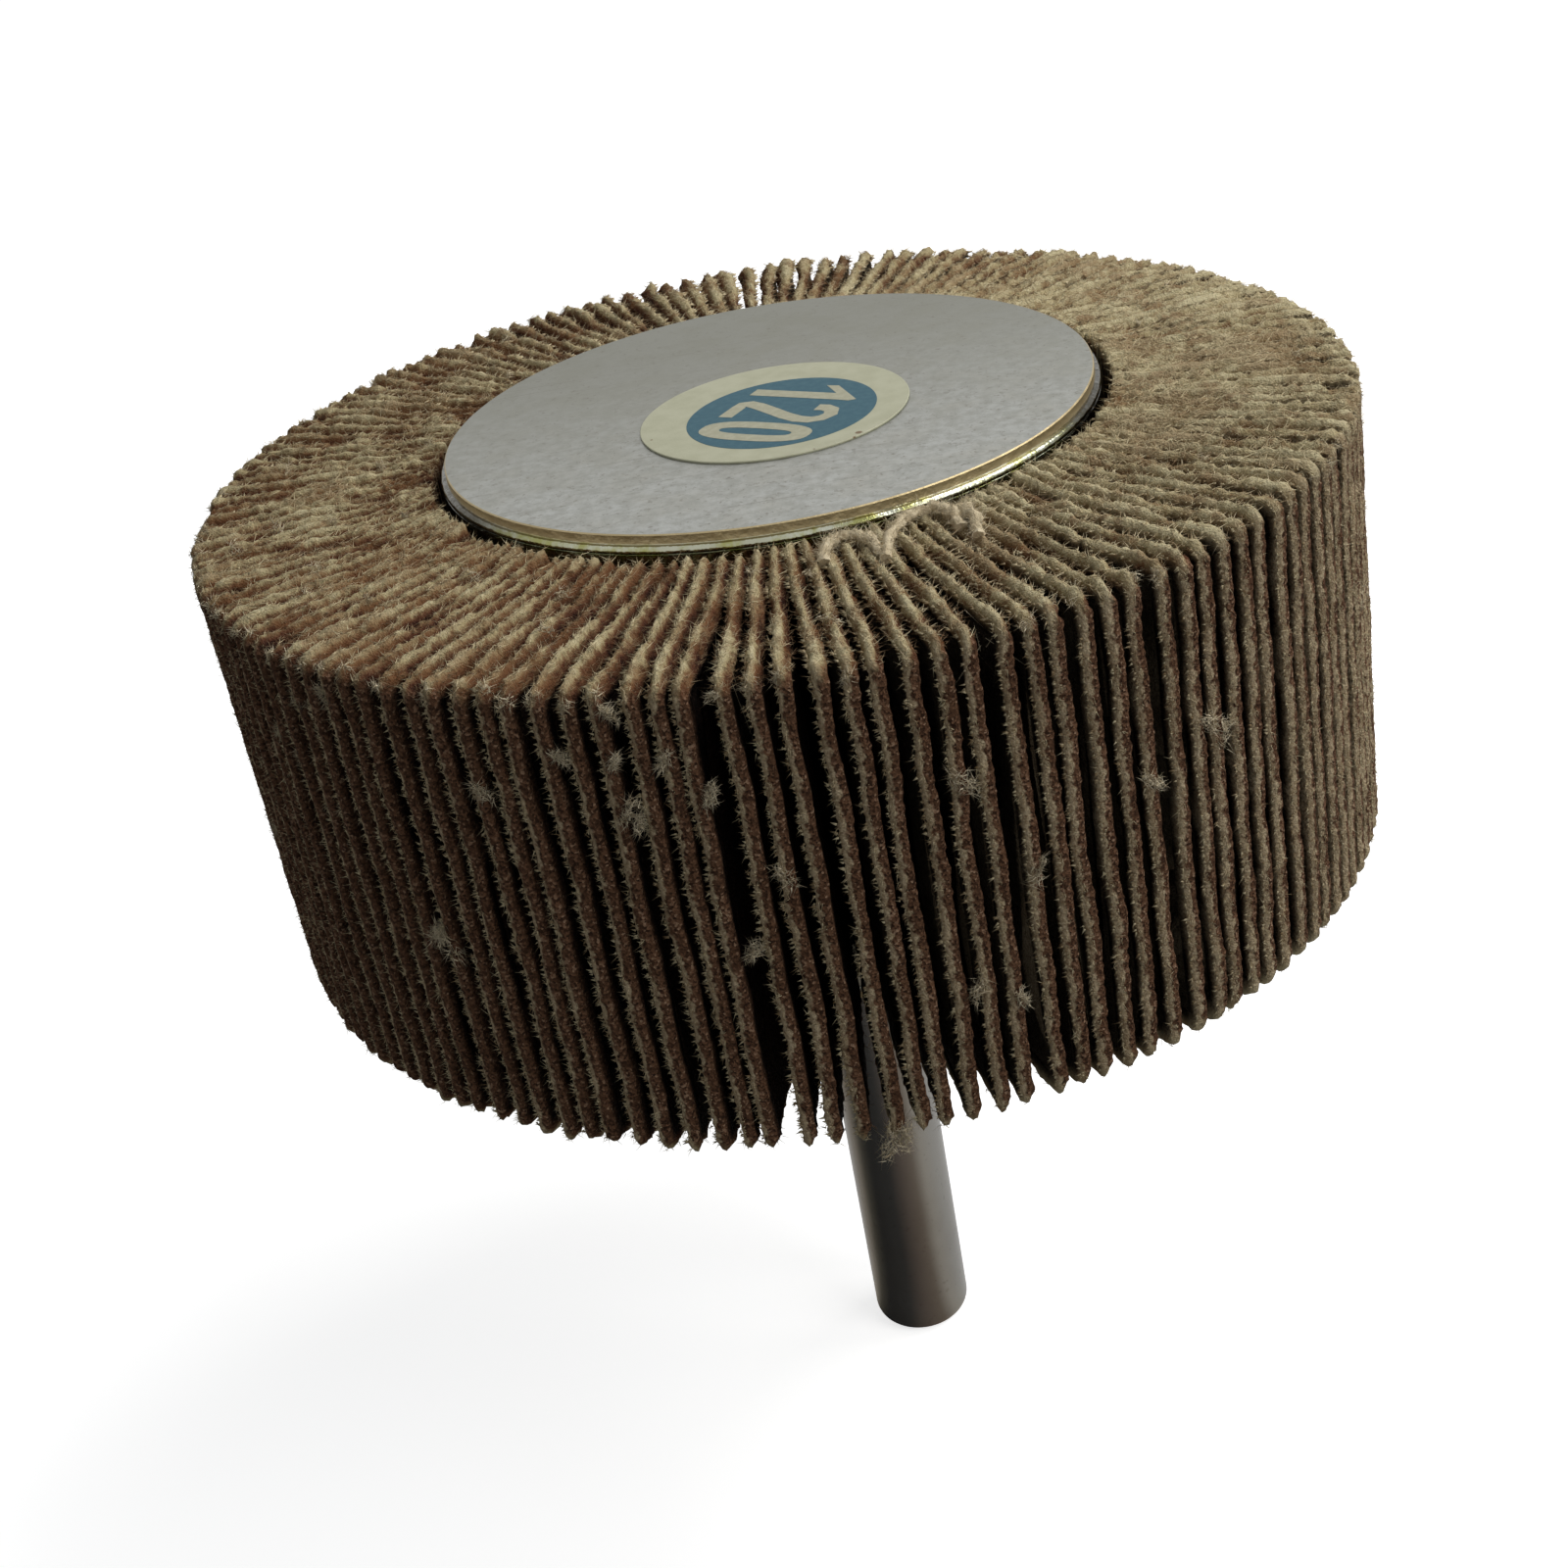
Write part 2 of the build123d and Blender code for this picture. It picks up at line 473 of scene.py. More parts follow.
def flap_blank():
    """One flap in its own plane: X from the axis outwards, Y across its thickness, Z up."""
    edge_run = (
        2 * (wheel_radius - corner_round - notch_outer)
        + pi * corner_round
        + flap_top - flap_bottom - 2 * corner_round
    )
    stations = round(edge_run / (yarn_pitch / 2) / shoulder_step) * shoulder_step
    points, across, edge, along, outward = [], [], [], [], []

    def add_point(radius, side, height, closeness, distance, out_radius, out_height):
        points.append((radius * mm, side * half_thickness * mm, height * mm))
        across.append(side)
        edge.append(closeness)
        along.append(distance)
        outward.extend((out_radius, 0, out_height))
        return len(points) - 1

    rows = [[] for _ in edge_rows]
    shoulders = {-1: [], 1: []}
    for station in range(stations + 1):
        distance = min(edge_run * station / stations, edge_run - 1e-6)
        radius, height, out_radius, out_height = edge_place(distance)
        for row, (side, stand) in zip(rows, edge_rows):
            row.append(
                add_point(
                    radius + out_radius * stand, side, height + out_height * stand, 1, distance,
                    out_radius, out_height))
        if station % shoulder_step == 0:
            inner_radius = min(radius, wheel_radius - shoulder_depth)
            inner_height = max(min(height, flap_top - shoulder_depth), flap_bottom + shoulder_depth)
            for side, line in shoulders.items():
                line.append(add_point(inner_radius, side, inner_height, 0, distance, 0, 0))
    faces = []
    for low, high in zip(rows, rows[1:]):
        for station in range(stations):
            faces.append((low[station], low[station + 1], high[station + 1], high[station]))
    for station in range(0, stations, shoulder_step):
        rung = station // shoulder_step
        stretch = slice(station, station + shoulder_step + 1)
        cloth_line, grit_line = shoulders[-1], shoulders[1]
        faces.append(rows[0][stretch][::-1] + [cloth_line[rung], cloth_line[rung + 1]])
        faces.append(rows[-1][stretch] + [grit_line[rung + 1], grit_line[rung]])
    faces.append(shoulders[-1])
    faces.append(shoulders[1][::-1])
    first = [row[0] for row in rows]
    last = [row[-1] for row in rows]
    faces.append(
        first + [shoulders[1][0], shoulders[1][-1]] + last[::-1] + [shoulders[-1][-1], shoulders[-1][0]])
    # The waist between the notches and the tongue under the caps
    hidden_blocks = (
        (notch_inner, notch_outer, flap_bottom + notch_depth, flap_top - notch_depth),
        (root_radius, notch_inner, flap_bottom, flap_top),
    )
    for inner, outer, low, high in hidden_blocks:
        block = [
            add_point(radius, side, height, 0, 0, 0, 0)
            for radius in (inner, outer) for side in (-1, 1) for height in (low, high)
        ]
        for quad in ((0, 1, 3, 2), (4, 6, 7, 5), (0, 4, 5, 1), (2, 3, 7, 6), (0, 2, 6, 4), (1, 5, 7, 3)):
            faces.append([block[corner] for corner in quad])
    mesh = bpy.data.meshes.new("Flap_blank")
    mesh.from_pydata(points, [], faces)
    for name, kind, field, values in (
        ("across", "FLOAT", "value", across),
        ("edge", "FLOAT", "value", edge),
        ("along", "FLOAT", "value", along),
        ("outward", "FLOAT_VECTOR", "vector", outward),
    ):
        mesh.attributes.new(name, kind, "POINT").data.foreach_set(field, values)
    return mesh


def stored_value(tree, name):
    """Reads a value that is stored on the mesh."""
    return output_of(tree, "ShaderNodeAttribute", output="Fac", attribute_name=name)


# Cloth and grit as they look on a frayed edge
flap_finish, tree, surface, place = new_finish("Abrasive_cloth", {"Specular IOR Level": 0.08})
across = stored_value(tree, "across")
edge = stored_value(tree, "edge")
on_end = stored_value(tree, "on_end")
nap = stored_value(tree, "nap")
grain_cells = outputs_of(add_node(tree, "ShaderNodeTexVoronoi", {"Vector": place, "Scale": 9000.0}))
grain_value = output_of(tree, "ShaderNodeSeparateColor", {0: grain_cells["Color"]})
grit_colour = colour_ramp(
    grain_value,
    (
        (0.0, (0.036, 0.018, 0.011)), (0.4, (0.1, 0.05, 0.028)), (0.85, (0.185, 0.096, 0.054)),
        (1.0, (0.36, 0.23, 0.15))
    ))
fluff = noise(place, 5200.0, 5.0, 0.75)
patches = noise(place, 420.0, 2.0)
cloth_colour = mix_colours(spread(fluff, 0.3, 0.7), (0.32, 0.22, 0.125, 1), (0.8, 0.66, 0.44, 1))
cloth_colour = mix_colours(spread(patches, 0.45, 0.75, 0.0, 0.5), cloth_colour, (0.22, 0.13, 0.065, 1))
ragged = (noise(place, 2400.0, 2.0) - 0.5) * 2.0
drift = (noise(place, 330.0, 1.0) - 0.5) * 1.2
grit_line = across + ragged + drift
rim_colour = mix_colours(spread(grit_line, -0.62, -0.12), cloth_colour, grit_colour)
# On the ends the worn cloth is matted: pale where it stands up, brown in its hollows where the grit shows,
# and near black at their bottoms, which is painted shade
matted_nap = nap + (fluff - 0.5) * 0.7
rusty = reckon(
    "MAXIMUM", spread(noise(place, 600.0, 3.0), 0.5, 0.66, 0.0, 0.6),
    spread(noise(place, 210.0, 3.0), 0.5, 0.64, 0.0, 0.5))
matted_colour_with_painted_shade = colour_ramp(
    matted_nap,
    (
        (0.0, (0.028, 0.011, 0.008)), (0.25, (0.12, 0.048, 0.026)), (0.45, (0.24, 0.145, 0.075)),
        (0.62, (0.45, 0.362, 0.2)), (1.0, (0.68, 0.6, 0.38))
    ))
matted_colour_with_painted_shade = mix_colours(rusty, matted_colour_with_painted_shade, (0.22, 0.105, 0.046, 1))
edge_colour = mix_colours(on_end, rim_colour, matted_colour_with_painted_shade)
# Painted shade: the flaps' faces go dark away from their free edges, deep in the gaps between the flaps
painted_gap_shade = reckon("MULTIPLY_ADD", edge ** 2.0, 0.84, 0.16)
feed(surface.inputs["Base Color"], mix_colours(1.0, edge_colour, painted_gap_shade, "MULTIPLY"))
feed(surface.inputs["Roughness"], spread(grain_value, 0.5, 1.0, 0.95, 0.7))
flap_height = fluff + grain_cells["Distance"] * 0.6
add_bump(surface, flap_height, 0.13)

# Loose cotton fibres
fibre_finish, tree, surface, place = new_finish("Cotton_fibre", {
    "Specular IOR Level": 0.1, "Roughness": 0.9})
tone = stored_value(tree, "tone")
fibre_grain = noise(place, 900.0, 2.0)
fibre_share = (tone + fibre_grain) * 0.5
fibre_colour = mix_colours(spread(fibre_share, 0.2, 0.7), (0.36, 0.255, 0.14, 1), (0.76, 0.66, 0.43, 1))
# Those rooted in the hollows of the matted ends are brown with grit dust
on_end = stored_value(tree, "on_end")
nap = stored_value(tree, "nap")
dusty = on_end * spread(nap, 0.3, 0.7, 0.85, 0.0)
fibre_colour = mix_colours(dusty, fibre_colour, (0.17, 0.088, 0.044, 1))
feed(surface.inputs["Base Color"], fibre_colour)

lean_reach = 0.330
worn_direction = radians(28)
# Where the painted light on the flaps' ends is strongest
painted_light_direction = radians(335)
parting_angle = 262.0
parting_spread = 5.0
parting_push = 0.26


def named(tree, name, kind="FLOAT"):
    """Reads an attribute of the geometry."""
    made = add_node(tree, "GeometryNodeInputNamedAttribute", {"Name": name}, data_type=kind)
    return Wire(next(socket for socket in made.outputs if socket.enabled))


def chance(tree, low, high, seed, whole=False):
    """A random value for each element, the same on every run."""
    first = 4 if whole else 2
    own_seed = reckon("MULTIPLY_ADD", Wire(tree.nodes["Group Input"].outputs["Seed"]), 97.0, seed)
    return output_of(tree, "FunctionNodeRandomValue", {first: low, first + 1: high, "Seed": own_seed},
                     output=2 if whole else 1, data_type="INT" if whole else "FLOAT")


def wander(coordinates, flap, scale, detail=1.0):
    """Noise from -0.5 to 0.5 that is different on every flap."""
    return output_of(tree_of(coordinates), "ShaderNodeTexNoise", {
        "Vector": coordinates, "W": flap, "Scale": scale, "Detail": detail}, noise_dimensions="4D") - 0.5


def combine(**parts):
    """A vector from its X, Y and Z."""
    return output_of(tree_of(*parts.values()), "ShaderNodeCombineXYZ", parts)


def scaled(vector, factor):
    """A vector made longer or shorter."""
    return output_of(tree_of(vector), "ShaderNodeVectorMath", {0: vector, "Scale": factor},
        operation="SCALE")


def vector_sum(first, second):
    """Two vectors added."""
    return output_of(tree_of(first), "ShaderNodeVectorMath", {0: first, 1: second}, operation="ADD")


def stored(geometry, name, value, kind="FLOAT"):
    """Writes a value on every point of a geometry."""
    return output_of(tree_of(geometry), "GeometryNodeStoreNamedAttribute", {
        "Geometry": geometry, "Name": name, "Value": value}, data_type=kind, domain="POINT")


def join(*parts):
    """Several geometries as one."""
    made = add_node(tree_of(*parts), "GeometryNodeJoinGeometry")
    for part in parts:
        feed(made.inputs[0], part)
    return Wire(made.outputs[0])


def with_finish(geometry, finish):
    """A geometry with its material."""
    return output_of(tree_of(geometry), "GeometryNodeSetMaterial", {"Geometry": geometry,
        "Material": finish})


def add_geometry_tree(name, inputs):
    """An empty Geometry Nodes tree with its named inputs and one geometry output."""
    made = bpy.data.node_groups.new(name, "GeometryNodeTree")
    made.interface.new_socket(name="Geometry", in_out="INPUT", socket_type="NodeSocketGeometry")
    made.interface.new_socket(name="Geometry", in_out="OUTPUT", socket_type="NodeSocketGeometry")
    for label, kind, value in inputs:
        socket = made.interface.new_socket(name=label, in_out="INPUT", socket_type=kind)
        if value is not None:
            socket.default_value = value
    return made, outputs_of(made.nodes.new("NodeGroupInput")), made.nodes.new("NodeGroupOutput").inputs


def cone_hair(radius, length, segments=1):
    """A thin tapered fibre that stands on its root."""
    return output_of(tree_of(radius), "GeometryNodeMeshCone", {
        "Vertices": 3, "Side Segments": segments, "Radius Top": 0.0, "Radius Bottom": radius,
        "Depth": length,
    }, fill_type="NONE")


def bent(hair, length, bend):
    """The same fibre bent over to one side, more and more towards its end."""
    share = parts_of(output_of(tree_of(hair), "GeometryNodeInputPosition"))[2] / length
    return output_of(tree_of(hair), "GeometryNodeSetPosition", {
        "Geometry": hair, "Offset": combine(X=share ** 2.0 * (length * bend))})


def grow_hairs(feet, hair, way, length_share, seed):
    """Sets a fibre on each point, pointing its own way and turned about itself, with a tone of its own."""
    tree = tree_of(feet)
    toned = stored(feet, "tone", chance(tree, 0.0, 1.0, seed))
    aimed = output_of(tree, "FunctionNodeAlignRotationToVector", {"Vector": way}, axis="Z")
    own_spin = output_of(tree, "FunctionNodeEulerToRotation", {0: combine(Z=chance(tree, 0.0, tau,
        seed + 1))})
    spun = output_of(tree, "FunctionNodeRotateRotation", {
        "Rotation": aimed, "Rotate By": own_spin}, rotation_space="LOCAL")
    width = chance(tree, 0.7, 1.3, seed + 2)
    grown = output_of(tree, "GeometryNodeInstanceOnPoints", {
        "Points": toned, "Instance": hair, "Rotation": spun, "Scale": combine(X=width, Y=width,
        Z=length_share)})
    return output_of(tree, "GeometryNodeRealizeInstances", {"Geometry": grown})


worn_depth = 0.80
pack_tree, given, result = add_geometry_tree("Flap pack", [
    ("First Flap", "NodeSocketInt", 0),
    ("Flaps", "NodeSocketInt", flaps_in_pack),
    ("Pitch", "NodeSocketFloat", tau / flap_count),
    ("Lean Reach", "NodeSocketFloat", 0.7 * lean_reach * mm),
    ("Parting Push", "NodeSocketFloat", parting_push * mm),
    ("Wave Depth", "NodeSocketFloat", 0.62 * mm),
    ("Wear Depth", "NodeSocketFloat", 0.35 * mm),
    ("Worn Side", "NodeSocketFloat", worn_depth * mm),
    ("Mat Depth", "NodeSocketFloat", 0.70 * mm),
    ("Yarn Pitch", "NodeSocketFloat", yarn_pitch),
    ("Tooth Length", "NodeSocketFloat", 0.38 * mm),
    ("Tooth Width", "NodeSocketFloat", 0.060 * mm),
    ("Fibre Length", "NodeSocketFloat", 0.50 * mm),
    ("Fibre Width", "NodeSocketFloat", 0.017 * mm),
    ("Seed", "NodeSocketInt", 0),
    ("Flap Finish", "NodeSocketMaterial", None),
    ("Fibre Finish", "NodeSocketMaterial", None),
])
tree = pack_tree
slots_of_pack = output_of(tree, "GeometryNodePoints", {"Count": given["Flaps"]})
index = output_of(tree, "GeometryNodeInputIndex")
numbered = stored(slots_of_pack, "flap", index + given["First Flap"])
stood = output_of(tree, "GeometryNodeInstanceOnPoints", {
    "Points": numbered, "Instance": given["Geometry"]})
flat_flaps = output_of(tree, "GeometryNodeRealizeInstances", {"Geometry": stood})

flap = named(tree, "flap")
across = named(tree, "across")
edge = named(tree, "edge")
along = named(tree, "along")
outward = named(tree, "outward", "FLOAT_VECTOR")
position = output_of(tree, "GeometryNodeInputPosition")
fan_turn = flap * given["Pitch"]
fanned_place = output_of(tree, "ShaderNodeVectorRotate", {
    "Vector": position, "Angle": fan_turn}, rotation_type="Z_AXIS")
flat_place = parts_of(position)
radius = flat_place[0]
freedom = output_of(tree, "ShaderNodeMapRange", {
    "Value": radius, "From Min": notch_outer * mm, "From Max": wheel_radius * mm})
on_edge = reckon("GREATER_THAN", edge, 0.5)
outward_part = parts_of(outward)
on_end = abs(outward_part[2]) ** 1.5
on_front = on_end * reckon("GREATER_THAN", outward_part[2], 0.0)

# The lean of each flap, as in the solid model
ripple = reckon("SINE", flap * 2.1) + reckon("SINE", reckon("MULTIPLY_ADD", flap, 5.3, 1.0))
ripple = ripple * 0.5 * given["Lean Reach"]
past_parting = reckon("MULTIPLY_ADD", flap, 360 / flap_count, -parting_angle)
beside_parting = abs(past_parting)
fading = reckon("EXPONENT", beside_parting / -parting_spread)
push = reckon("SIGN", past_parting) * fading * given["Parting Push"]
lean = (ripple + push) * freedom ** 1.5
wave = reckon("MULTIPLY_ADD", wander(position, flap + 500.0, 700.0), 0.3, wander(position, flap, 160.0))
wave = wave * given["Wave Depth"]
wave = wave * reckon("MULTIPLY_ADD", freedom, 0.8, 0.2)

# The ends are matted with worn cloth that bridges the flaps, least where the flaps stand apart
round_parting = reckon("MINIMUM", beside_parting, 360.0 - beside_parting)
crowding = spread(round_parting, 10.0, 75.0, 0.15, 0.95)
crowding = reckon("MAXIMUM", crowding, spread(freedom, 0.0, 0.4, 0.8, 0.0))
mat_patch = spread(noise(fanned_place, 230.0, 2.0), 0.4, 0.6)
matting = on_end * (crowding * reckon("MULTIPLY_ADD", mat_patch, 0.7, 0.3))
strand_place = combine(X=along * 0.32, Y=across * 0.6)
strand = wander(strand_place, flap * 7.3, 1.0, 3.0)
crumb = wander(position, flap * 1.3, 2600.0, 2.0)
gap_room = radius * (given["Pitch"] * 0.5) / (half_thickness * mm) - 1.0
swell = matting * (gap_room * reckon("MULTIPLY_ADD", strand, 2.4, 0.75))
# Some stretches of the grit side stay bare, which leaves a dark crack beside the next flap
crack_place = combine(X=along * 0.11)
bridged = spread(wander(crack_place, flap * 9.1, 1.0, 2.0), -0.08, 0.0, -0.15, 1.0)
bridged = reckon("MAXIMUM", bridged, reckon("LESS_THAN", across, 0.0))
swelling = flat_place[1] * swell * (bridged * on_edge)
ridge = spread(abs(across + 0.45), 0.2, 1.15, 0.22, -0.46)
# Painted light: the cloth on the ends is lighter towards one side of the wheel, the right, where the lamps
# stand, and its nap stands a little higher there
painted_light_and_lift = reckon("MAXIMUM", reckon("COSINE", fan_turn - painted_light_direction), 0.0)
painted_light_and_lift = painted_light_and_lift * 0.26
nap = 0.5 + strand * 1.8 + crumb * 1.1 + ridge + painted_light_and_lift + (mat_patch - 0.5) * 0.2
nap = output_of(tree, "ShaderNodeClamp", {0: nap})
end_lift = (nap - 0.5) * given["Mat Depth"]
end_lift = end_lift + spread(freedom, 0.0, 0.3, 0.25 * mm, 0.0)
# Beside the cap each flap ends a little higher or lower than its neighbours
beside_cap = wander(crack_place, flap * 5.9, 1.0)
end_lift = reckon("MULTIPLY_ADD", beside_cap, spread(freedom, 0.0, 0.14, 1.2 * mm, 0.0), end_lift)
# One side of the wheel is worn down a little more than the rest
worn_side = reckon("MAXIMUM", reckon("COSINE", fan_turn - worn_direction), 0.0)
worn_side = worn_side ** 3.0 * given["Worn Side"]
end_lift = end_lift - worn_side * freedom ** 5.0

# Yarn ends stand out of the cloth side as teeth, some long and some worn away
yarn_turn = along / given["Yarn Pitch"] * tau
yarn_end = reckon("MULTIPLY_ADD", reckon("COSINE", yarn_turn), 0.5, 0.5)
edge_line = combine(X=along)
unevenness = wander(edge_line, flap * 3.7, 1.1, 2.0)
uneven = spread(unevenness, -0.22, 0.25)
cloth_side = spread(across, -1.0, 0.0, 1.0, 0.0)
wear = wander(edge_line, flap * 11.7, 0.25) - 0.12
rim_lift = worn_side * -1.0 + wear * given["Wear Depth"] + crumb * (given["Wear Depth"] * 0.6)
lift = output_of(tree, "ShaderNodeMix", {0: on_end, 2: rim_lift, 3: end_lift})
notch = cloth_side * on_edge * (yarn_end * uneven)
notch = notch * (given["Tooth Length"] * -0.35)
side_crumb = crumb * on_edge * (0.28 * mm)
sideways = lean + wave + swelling + side_crumb + notch
side_vector = combine(Y=sideways)
frayed = output_of(tree, "GeometryNodeSetPosition", {
    "Geometry": flat_flaps, "Offset": vector_sum(side_vector, scaled(outward, lift))})
for label, value in (("nap", nap), ("on_end", on_end)):
    frayed = stored(frayed, label, value)

# Teeth of twisted yarn along the cloth side
along_edge = output_of(tree, "ShaderNodeVectorMath", {
    0: outward, 1: (0, 1, 0)}, operation="CROSS_PRODUCT")
on_yarn_end = reckon("GREATER_THAN", yarn_end, 0.5) * reckon("LESS_THAN", across, -0.8)
on_yarn_end = on_yarn_end * reckon("GREATER_THAN", outward_part[2], -0.5)
teeth_feet = output_of(tree, "GeometryNodeMeshToPoints", {
    "Mesh": frayed, "Selection": on_yarn_end * on_edge})
teeth_feet = output_of(tree, "GeometryNodeDuplicateElements", {
    "Geometry": teeth_feet, "Amount": chance(tree, 1, 3, 21, whole=True)}, domain="POINT")
tooth_way = vector_sum(
    combine(Y=chance(tree, -1.0, -0.5, 22)), scaled(outward, chance(tree, -0.15, 0.45, 23)))
tooth_way = vector_sum(tooth_way, scaled(along_edge, chance(tree, -0.5, 0.6, 24)))
tooth_share = chance(tree, 0.5, 1.1, 25) * reckon("MULTIPLY_ADD", uneven, 0.7, 0.3)
teeth_feet = output_of(tree, "GeometryNodeSetPosition", {
    "Geometry": teeth_feet, "Offset": scaled(along_edge, chance(tree, -0.16 * mm, 0.16 * mm, 29))})
teeth = grow_hairs(
    teeth_feet, cone_hair(given["Tooth Width"], given["Tooth Length"]), tooth_way, tooth_share, 26)

# Loose fibres along the rim, and longer ones that lie every way over the matted ends
fibre_number = output_of(tree, "ShaderNodeMix", {
    0: on_end,
    2: reckon("LESS_THAN", across, -0.3) * chance(tree, 0.0, 1.0, 31),
    3: chance(tree, 0.0, 1.3, 32) * reckon("MULTIPLY_ADD", on_front, 0.55, 0.45),
})
fibre_feet = output_of(tree, "GeometryNodeMeshToPoints", {
    "Mesh": frayed, "Selection": on_edge * reckon("GREATER_THAN", fibre_number, 0.5)})
fibre_feet = output_of(tree, "GeometryNodeDuplicateElements", {
    "Geometry": fibre_feet, "Amount": chance(tree, 2, 4, 53, whole=True)}, domain="POINT")
foot_shift = combine(Y=chance(tree, -0.1 * mm, 0.1 * mm, 51))
fibre_feet = output_of(tree, "GeometryNodeSetPosition", {
    "Geometry": fibre_feet,
    "Offset": vector_sum(foot_shift, scaled(along_edge, chance(tree, -0.12 * mm, 0.12 * mm, 52))),
})
flat_lie = reckon("MULTIPLY_ADD", on_end, -0.55, 1.0)
fibre_way = vector_sum(
    combine(Y=chance(tree, -1.0, 0.1, 33) + on_end * chance(tree, 0.0, 0.9, 34)),
    scaled(outward, chance(tree, -0.1, 0.8, 35) * flat_lie))
fibre_way = vector_sum(fibre_way, scaled(along_edge, chance(tree, -0.9, 0.9, 36)))
fibre_share = reckon(
    "MULTIPLY_ADD", chance(tree, 0.0, 1.0, 37) ** 2.0, 0.8, reckon("MULTIPLY_ADD", on_end, 0.3, 0.25))
fibres = grow_hairs(
    fibre_feet, cone_hair(given["Fibre Width"], given["Fibre Length"]), fibre_way, fibre_share, 38)

finished_fibres = with_finish(join(teeth, fibres), given["Fibre Finish"])
finished_flaps = with_finish(frayed, given["Flap Finish"])
fanned = output_of(tree, "GeometryNodeSetPosition", {
    "Geometry": join(finished_fibres, finished_flaps), "Position": fanned_place})
feed(result["Geometry"], output_of(tree, "GeometryNodeSetShadeSmooth", {"Geometry": fanned}))


def grow(name, start_mesh, node_tree, settings):
    """Runs a Geometry Nodes tree on a mesh and keeps what it makes as a plain mesh."""
    starter = bpy.data.objects.new(name + "_start", start_mesh)
    bpy.context.scene.collection.objects.link(starter)
    modifier = starter.modifiers.new("Grow", "NODES")
    modifier.node_group = node_tree
    for item in node_tree.interface.items_tree:
        if item.item_type == "SOCKET" and item.in_out == "INPUT" and item.name in settings:
            modifier[item.identifier] = settings[item.name]
    evaluated = starter.evaluated_get(bpy.context.evaluated_depsgraph_get())
    mesh = bpy.data.meshes.new_from_object(evaluated)
    mesh.name = name
    bpy.data.objects.remove(starter)
    piece = bpy.data.objects.new(name, mesh)
    bpy.context.scene.collection.objects.link(piece)
    return piece


blank = flap_blank()
for pack in range(flap_count // flaps_in_pack):
    flap_pack = grow(f"Flaps_{pack + 1:02d}", blank, pack_tree, {
        "First Flap": pack * flaps_in_pack,
        "Seed": pack,
        "Flap Finish": flap_finish,
        "Fibre Finish": fibre_finish,
    })
    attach(flap_pack, "root")
    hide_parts(f"flap_pack_{pack + 1:02d}")

# Pulled cotton
# Tufts of cotton that wear has pulled out of the flaps' cloth and that cling to the rim and the
# labelled end, a few stray hairs, and three yarns that came loose beside the front cap.

cotton_finish, tree, surface, place = new_finish("Pulled_cotton", {
    "Specular IOR Level": 0.1, "Roughness": 0.9})
tone = stored_value(tree, "tone")
cotton_share = (tone + noise(place, 1500.0, 2.0)) * 0.5
cotton_colour = mix_colours(
    spread(cotton_share, 0.2, 0.7), (0.52, 0.42, 0.27, 1), (0.88, 0.78, 0.57, 1))
feed(surface.inputs["Base Color"], cotton_colour)
add_bump(surface, noise(place, 7000.0, 3.0, 0.7), 0.09)

tuft_tree, given, result = add_geometry_tree("Cotton tuft", [
    ("Strands", "NodeSocketInt", 24),
    ("Strand Length", "NodeSocketFloat", 0.42 * mm),
    ("Strand Width", "NodeSocketFloat", 0.045 * mm),
    ("Strand Spread", "NodeSocketFloat", 0.65),
    ("Hairs", "NodeSocketInt", 30),
    ("Hair Length", "NodeSocketFloat", 0.45 * mm),
    ("Hair Width", "NodeSocketFloat", 0.020 * mm),
    ("Hair Spread", "NodeSocketFloat", 1.0),
    ("Foot Reach", "NodeSocketFloat", 0.50 * mm),
    ("Foot Spread", "NodeSocketFloat", 0.20 * mm),
    ("Seed", "NodeSocketInt", 0),
    ("Finish", "NodeSocketMaterial", None),
])
tree = tuft_tree


def scatter(tree, amount, seed):
    """A random offset in every direction."""
    return combine(**{
        axis: chance(tree, -1.0, 1.0, seed + number) * amount for number, axis in enumerate("XYZ")})


size = named(tree, "size")
aim = named(tree, "aim", "FLOAT_VECTOR")
tuft_feet = output_of(tree, "GeometryNodeMeshToPoints", {"Mesh": given["Geometry"]})
fluff = []
for kind, segments, seed in (("Strand", 2, 20), ("Hair", 1, 40)):
    feet = output_of(tree, "GeometryNodeDuplicateElements", {
        "Geometry": tuft_feet, "Amount": given[kind + "s"]}, domain="POINT")
    both_ways = scaled(aim, reckon("SIGN", chance(tree, -1.0, 1.0, seed)))
    down_tuft = scaled(aim, chance(tree, -1.0, 1.0, seed + 12) * given["Foot Reach"])
    foot_offset = scaled(vector_sum(down_tuft, scatter(tree, given["Foot Spread"], seed + 1)), size)
    feet = output_of(tree, "GeometryNodeSetPosition", {"Geometry": feet, "Offset": foot_offset})
    curl = bent(
        cone_hair(given[kind + " Width"], given[kind + " Length"], segments),
        given[kind + " Length"], 0.9)
    way = vector_sum(both_ways, scatter(tree, given[kind + " Spread"], seed + 4))
    fluff.append(grow_hairs(feet, curl, way, chance(tree, 0.4, 1.0, seed + 7) * size, seed + 8))
fluffy = with_finish(join(*fluff), given["Finish"])
feed(result["Geometry"], output_of(tree, "GeometryNodeSetShadeSmooth", {"Geometry": fluffy}))


def spots_mesh(name, spots):
    """A mesh of loose points, each with the way its hairs lean and its size."""
    mesh = bpy.data.meshes.new(name)
    mesh.from_pydata([spot[0] for spot in spots], [], [])
    mesh.attributes.new("aim", "FLOAT_VECTOR", "POINT").data.foreach_set(
        "vector", [part for spot in spots for part in spot[1]])
    mesh.attributes.new("size", "FLOAT", "POINT").data.foreach_set("value", [spot[2] for spot in spots])
    return mesh


